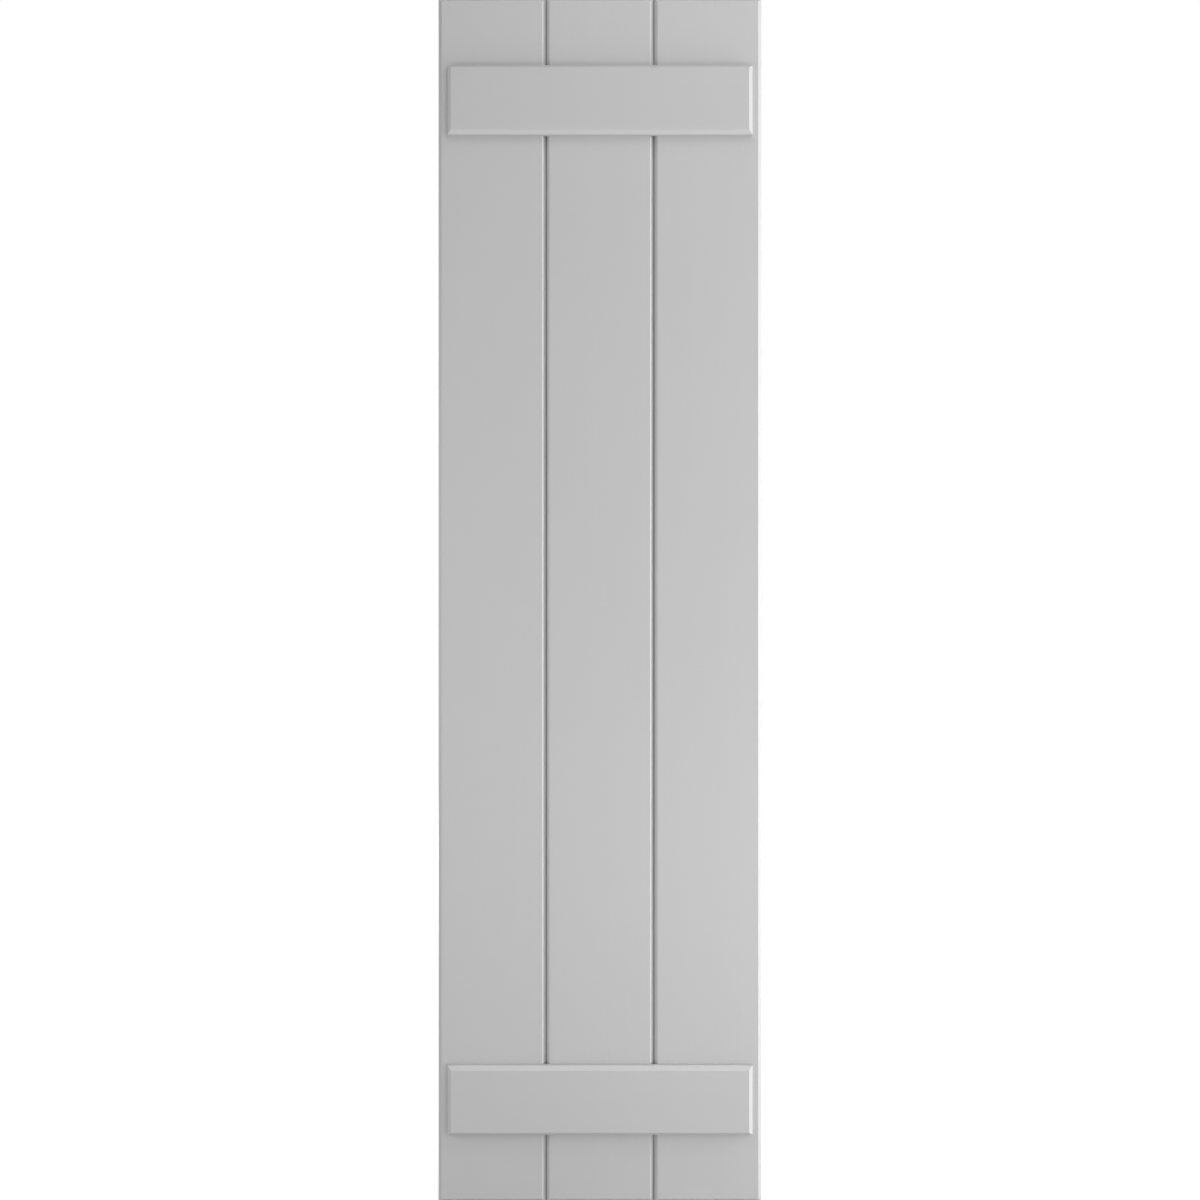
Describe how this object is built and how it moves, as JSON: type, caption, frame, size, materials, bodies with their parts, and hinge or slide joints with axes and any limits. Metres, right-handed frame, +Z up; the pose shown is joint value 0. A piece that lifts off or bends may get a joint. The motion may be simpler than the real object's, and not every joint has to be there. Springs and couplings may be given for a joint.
{
  "type": "board and batten shutter",
  "caption": "Flat exterior window shutter of upright bevelled boards held edge to edge by two bevelled cross battens.",
  "frame": {"origin": "centre of the flat back face, which lies against the wall", "axes": "+Z up along the boards, +Y out of the back face into the wall, -Y out of the front, +X to the viewer's right"},
  "size_m": [0.4098, 0.0191, 1.524],
  "materials": {
    "trim_board": "smooth satin light grey",
    "screw_steel": "plain zinc plated"
  },
  "bodies": {
    "root": {"board_left": "trim_board", "board_middle": "trim_board", "board_right": "trim_board", "batten_top": "trim_board", "batten_bottom": "trim_board", "screw_top_left_1": "screw_steel", "screw_top_left_2": "screw_steel", "screw_bottom_left_1": "screw_steel", "screw_bottom_left_2": "screw_steel", "screw_top_middle_1": "screw_steel", "screw_top_middle_2": "screw_steel", "screw_bottom_middle_1": "screw_steel", "screw_bottom_middle_2": "screw_steel", "screw_top_right_1": "screw_steel", "screw_top_right_2": "screw_steel", "screw_bottom_right_1": "screw_steel", "screw_bottom_right_2": "screw_steel"}
  },
  "joints": []
}
